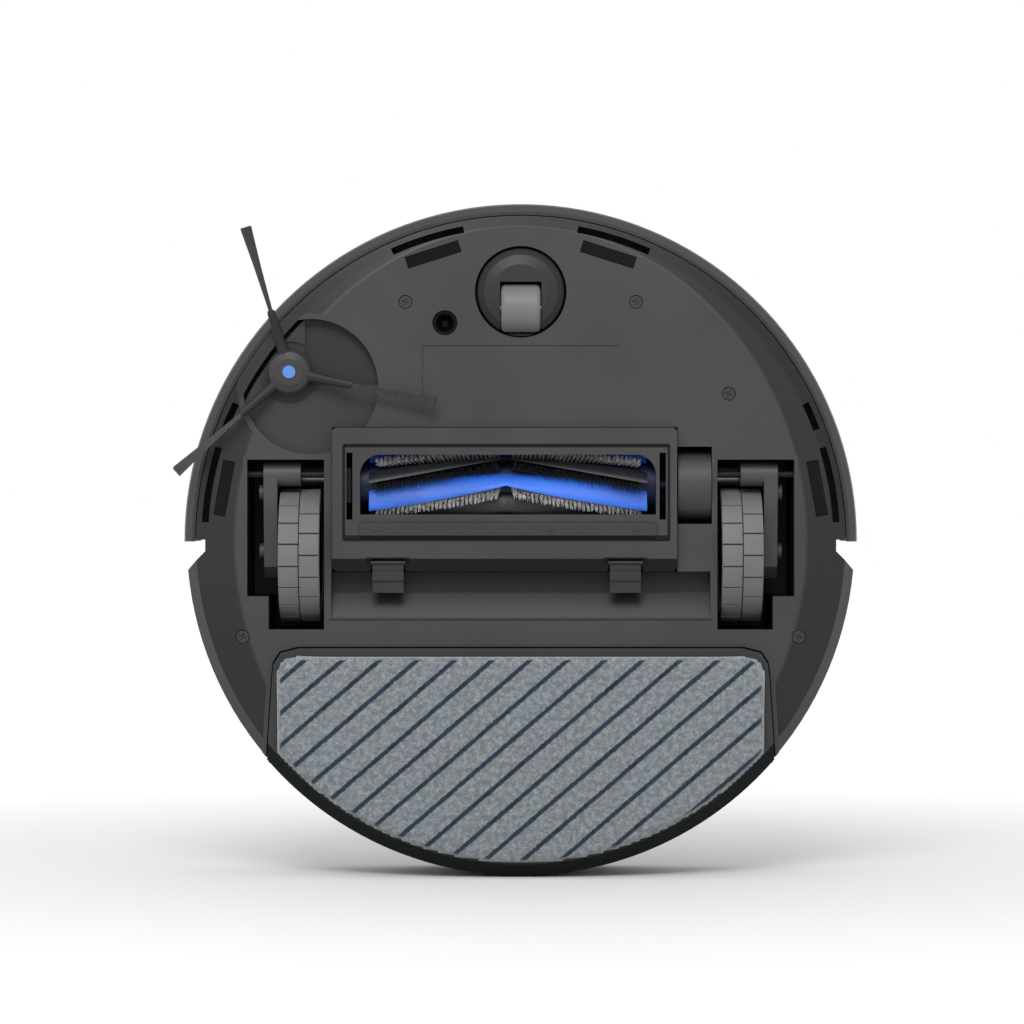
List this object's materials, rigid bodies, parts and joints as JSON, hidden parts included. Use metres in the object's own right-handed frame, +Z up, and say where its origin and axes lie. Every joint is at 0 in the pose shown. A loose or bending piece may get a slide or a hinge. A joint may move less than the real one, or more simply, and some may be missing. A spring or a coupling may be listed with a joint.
{
  "type": "robot vacuum",
  "caption": "Round robot vacuum with sprung bumper, driven wheels, caster, roller and side brush, laser turret, lift-up lid and slide-out mop tank.",
  "frame": {"origin": "on the floor, under the centre of the round body", "axes": "+Z up, front (bumper) towards -Y, side brush on the -X side"},
  "size_m": [0.3544, 0.3485, 0.0936],
  "materials": {
    "chassis_plastic": "fine texture",
    "shell_plastic": "satin",
    "bumper_plastic": "satin",
    "cover_plastic": "fine texture",
    "latch_plastic": "fine texture",
    "dark_plastic": "plain",
    "tank_gloss": "gloss smoke",
    "bin_clear": "smoke",
    "window_gloss": "gloss infrared window",
    "steel": "plain",
    "battery_wrap": "shrink wrap",
    "board_green": "solder mask",
    "tyre_rubber": "moulded",
    "caster_grey": "plain",
    "blue_rubber": "moulded",
    "blue_plastic": "plain",
    "sleeve_rubber": "moulded",
    "bristle_grey": "nylon bristle",
    "filter_paper": "pleated",
    "mop_cloth": "microfibre",
    "button_plastic": "satin"
  },
  "bodies": {
    "chassis": {"base_chassis": "chassis_plastic", "upper_shell": "shell_plastic", "base_screws": "steel", "battery_pack": "battery_wrap", "brush_gearbox": "dark_plastic", "brush_housing": "dark_plastic", "brush_motor": "steel", "bumper_springs": "steel", "bumper_switches": "dark_plastic", "carpet_sensor": "dark_plastic", "drop_sensor_windows": "window_gloss", "dust_bin": "bin_clear", "bin_handle": "dark_plastic", "dust_filter": "filter_paper", "fan_housing": "dark_plastic", "lidar_base": "dark_plastic", "lidar_cover": "bumper_plastic", "main_board": "board_green", "roller_bearing": "dark_plastic", "side_brush_motor": "steel", "speaker": "dark_plastic", "swing_pins": "steel", "suspension_springs": "steel"},
    "bumper": {"bumper_shell": "bumper_plastic", "bumper_lens": "window_gloss"},
    "side_brush": {"side_brush_hub": "dark_plastic", "side_brush_sleeves": "sleeve_rubber", "side_brush_bristles": "bristle_grey", "side_brush_screw": "blue_plastic"},
    "main_roller": {"roller_core": "dark_plastic", "roller_fins": "blue_rubber", "roller_bristles": "bristle_grey"},
    "brush_cover": {"brush_cover_frame": "cover_plastic", "squeegee_strip": "tyre_rubber", "squeegee_rivets": "steel"},
    "cover_latch_l": {"cover_latch_left": "latch_plastic"},
    "cover_latch_r": {"cover_latch_right": "latch_plastic"},
    "drive_arm_left": {"drive_gearbox_left": "dark_plastic", "drive_motor_left": "steel"},
    "drive_wheel_left": {"wheel_hub_left": "dark_plastic", "wheel_tyre_left": "tyre_rubber"},
    "drive_arm_right": {"drive_gearbox_right": "dark_plastic", "drive_motor_right": "steel"},
    "drive_wheel_right": {"wheel_hub_right": "dark_plastic", "wheel_tyre_right": "tyre_rubber"},
    "caster_swivel": {"caster_cup": "cover_plastic", "caster_axle": "steel"},
    "caster_roller": {"caster_wheel": "caster_grey"},
    "lid": {"lid_panel": "shell_plastic", "lid_hinge_pin": "steel"},
    "laser_head": {"lidar_rotor": "dark_plastic"},
    "fan_rotor": {"fan_impeller": "dark_plastic"},
    "mop_module": {"water_tank": "tank_gloss", "tank_cap": "tyre_rubber", "mop_plate": "dark_plastic", "mop_pad": "mop_cloth"},
    "mop_latch_l": {"tank_latch_left": "dark_plastic"},
    "mop_latch_r": {"tank_latch_right": "dark_plastic"},
    "mop_release": {"tank_release_button": "dark_plastic"},
    "power_button": {"start_button": "button_plastic"}
  },
  "joints": [
    {"name": "bumper_press", "type": "slide", "parent": "chassis", "child": "bumper", "axis": [0, 1, 0], "range_m": [0, 0.0035], "stiffness_N_per_m": 500, "springref_m": -0.003, "deforming": ["bumper_springs"]},
    {"name": "side_brush_spin", "type": "hinge", "parent": "chassis", "child": "side_brush", "pos_m": [-0.1195, -0.0869, 0.01], "axis": [0, 0, 1], "continuous": true},
    {"name": "roller_spin", "type": "hinge", "parent": "chassis", "child": "main_roller", "pos_m": [0, -0.0285, 0.0228], "axis": [1, 0, 0], "continuous": true},
    {"name": "cover_lift", "type": "slide", "parent": "chassis", "child": "brush_cover", "axis": [0, 0, -1], "range_m": [0, 0.04]},
    {"name": "cover_latch_left", "type": "hinge", "parent": "brush_cover", "child": "cover_latch_l", "pos_m": [-0.0685, 0.0114, 0.008], "axis": [1, 0, 0], "range_deg": [0, 7], "stiffness_Nm_per_rad": 0.08, "springref_deg": -5.73},
    {"name": "cover_latch_right", "type": "hinge", "parent": "brush_cover", "child": "cover_latch_r", "pos_m": [0.054, 0.0114, 0.008], "axis": [1, 0, 0], "range_deg": [0, 7], "stiffness_Nm_per_rad": 0.08, "springref_deg": -5.73},
    {"name": "caster_turn", "type": "hinge", "parent": "chassis", "child": "caster_swivel", "pos_m": [0, -0.1285, 0.02], "axis": [0, 0, 1], "continuous": true},
    {"name": "caster_roll", "type": "hinge", "parent": "caster_swivel", "child": "caster_roller", "pos_m": [0, -0.1202, 0.0125], "axis": [1, 0, 0], "continuous": true},
    {"name": "lid_hinge", "type": "hinge", "parent": "chassis", "child": "lid", "pos_m": [0, 0.0075, 0.0782], "axis": [-1, 0, 0], "range_deg": [0, 75]},
    {"name": "laser_spin", "type": "hinge", "parent": "chassis", "child": "laser_head", "pos_m": [0, 0.078, 0.08], "axis": [0, 0, 1], "continuous": true},
    {"name": "fan_spin", "type": "hinge", "parent": "chassis", "child": "fan_rotor", "pos_m": [-0.03, 0.0355, 0.05], "axis": [0, 0, 1], "continuous": true},
    {"name": "mop_slide", "type": "slide", "parent": "chassis", "child": "mop_module", "axis": [0, 1, 0], "range_m": [0, 0.13]},
    {"name": "mop_release_press", "type": "slide", "parent": "mop_module", "child": "mop_release", "axis": [0, -1, 0], "range_m": [0, 0.002], "stiffness_N_per_m": 400, "springref_m": -0.001},
    {"name": "mop_latch_left_in", "type": "slide", "parent": "mop_module", "child": "mop_latch_l", "axis": [1, 0, 0], "range_m": [0, 0.0016]},
    {"name": "mop_latch_right_in", "type": "slide", "parent": "mop_module", "child": "mop_latch_r", "axis": [-1, 0, 0], "range_m": [0, 0.0016]},
    {"name": "power_button_press", "type": "slide", "parent": "chassis", "child": "power_button", "axis": [0, 0, -1], "range_m": [0, 0.0008], "stiffness_N_per_m": 500, "springref_m": -0.0008},
    {"name": "arm_swing_left", "type": "hinge", "parent": "chassis", "child": "drive_arm_left", "pos_m": [-0.1145, -0.0343, 0.02], "axis": [-1, 0, 0], "range_deg": [0, 18], "stiffness_Nm_per_rad": 0.2, "springref_deg": 85.94, "deforming": ["suspension_springs"]},
    {"name": "wheel_spin_left", "type": "hinge", "parent": "drive_arm_left", "child": "drive_wheel_left", "pos_m": [-0.1145, 0.0077, 0.035], "axis": [1, 0, 0], "continuous": true},
    {"name": "arm_swing_right", "type": "hinge", "parent": "chassis", "child": "drive_arm_right", "pos_m": [0.1145, -0.0343, 0.02], "axis": [-1, 0, 0], "range_deg": [0, 18], "stiffness_Nm_per_rad": 0.2, "springref_deg": 85.94},
    {"name": "wheel_spin_right", "type": "hinge", "parent": "drive_arm_right", "child": "drive_wheel_right", "pos_m": [0.1145, 0.0077, 0.035], "axis": [1, 0, 0], "continuous": true}
  ],
  "couplings": [
    {"joint": "mop_latch_left_in", "follows": "mop_release_press", "ratio": 0.75},
    {"joint": "mop_latch_right_in", "follows": "mop_release_press", "ratio": 0.75}
  ]
}
